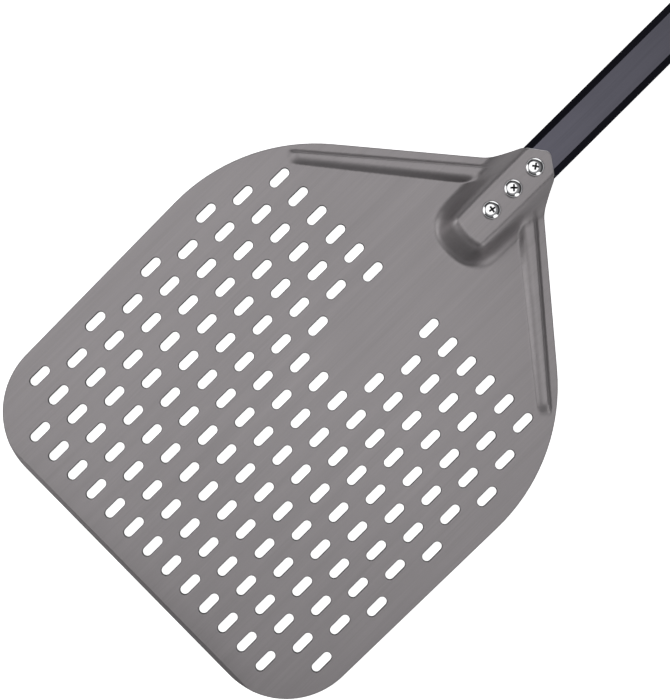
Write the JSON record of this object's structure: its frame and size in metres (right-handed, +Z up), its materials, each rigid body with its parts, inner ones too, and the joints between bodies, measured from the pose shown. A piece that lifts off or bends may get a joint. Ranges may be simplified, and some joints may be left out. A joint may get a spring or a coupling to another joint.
{
  "type": "pizza peel",
  "caption": "Short-handled pizza peel: slotted flat blade with a pressed socket, shoulder ribs, flat tube handle, grip and wire hanging loop.",
  "frame": {"origin": "middle of the peel's length and width, on the underside of the blade", "axes": "+X along the handle towards its end, +Y to the side, +Z up from the face that carries the pizza"},
  "size_m": [0.7, 0.3064, 0.0232],
  "materials": {
    "blade_aluminium": "hard-anodised grey, fine lengthwise brushing",
    "black_tube": "black anodised, satin",
    "screw_chrome": "polished",
    "nut_steel": "zinc plated",
    "black_plastic": "fine moulded texture",
    "grip_rubber": "soft matt, grooved",
    "loop_wire": "drawn stainless wire"
  },
  "bodies": {
    "peel": {"blade": "blade_aluminium", "handle_tube": "black_tube", "tube_front_plug": "black_plastic", "neck_screw_front": "screw_chrome", "neck_screw_middle": "screw_chrome", "neck_screw_rear": "screw_chrome", "barrel_nut_front": "nut_steel", "barrel_nut_middle": "nut_steel", "barrel_nut_rear": "nut_steel", "grip": "grip_rubber", "end_cap": "black_plastic", "end_cap_screw": "nut_steel"},
    "loop": {"hang_loop": "loop_wire"}
  },
  "joints": [
    {"name": "hang_loop_swing", "type": "hinge", "parent": "peel", "child": "loop", "pos_m": [0.314, 0, 0.01], "axis": [0, -1, 0], "range_deg": [-145, 170]}
  ]
}
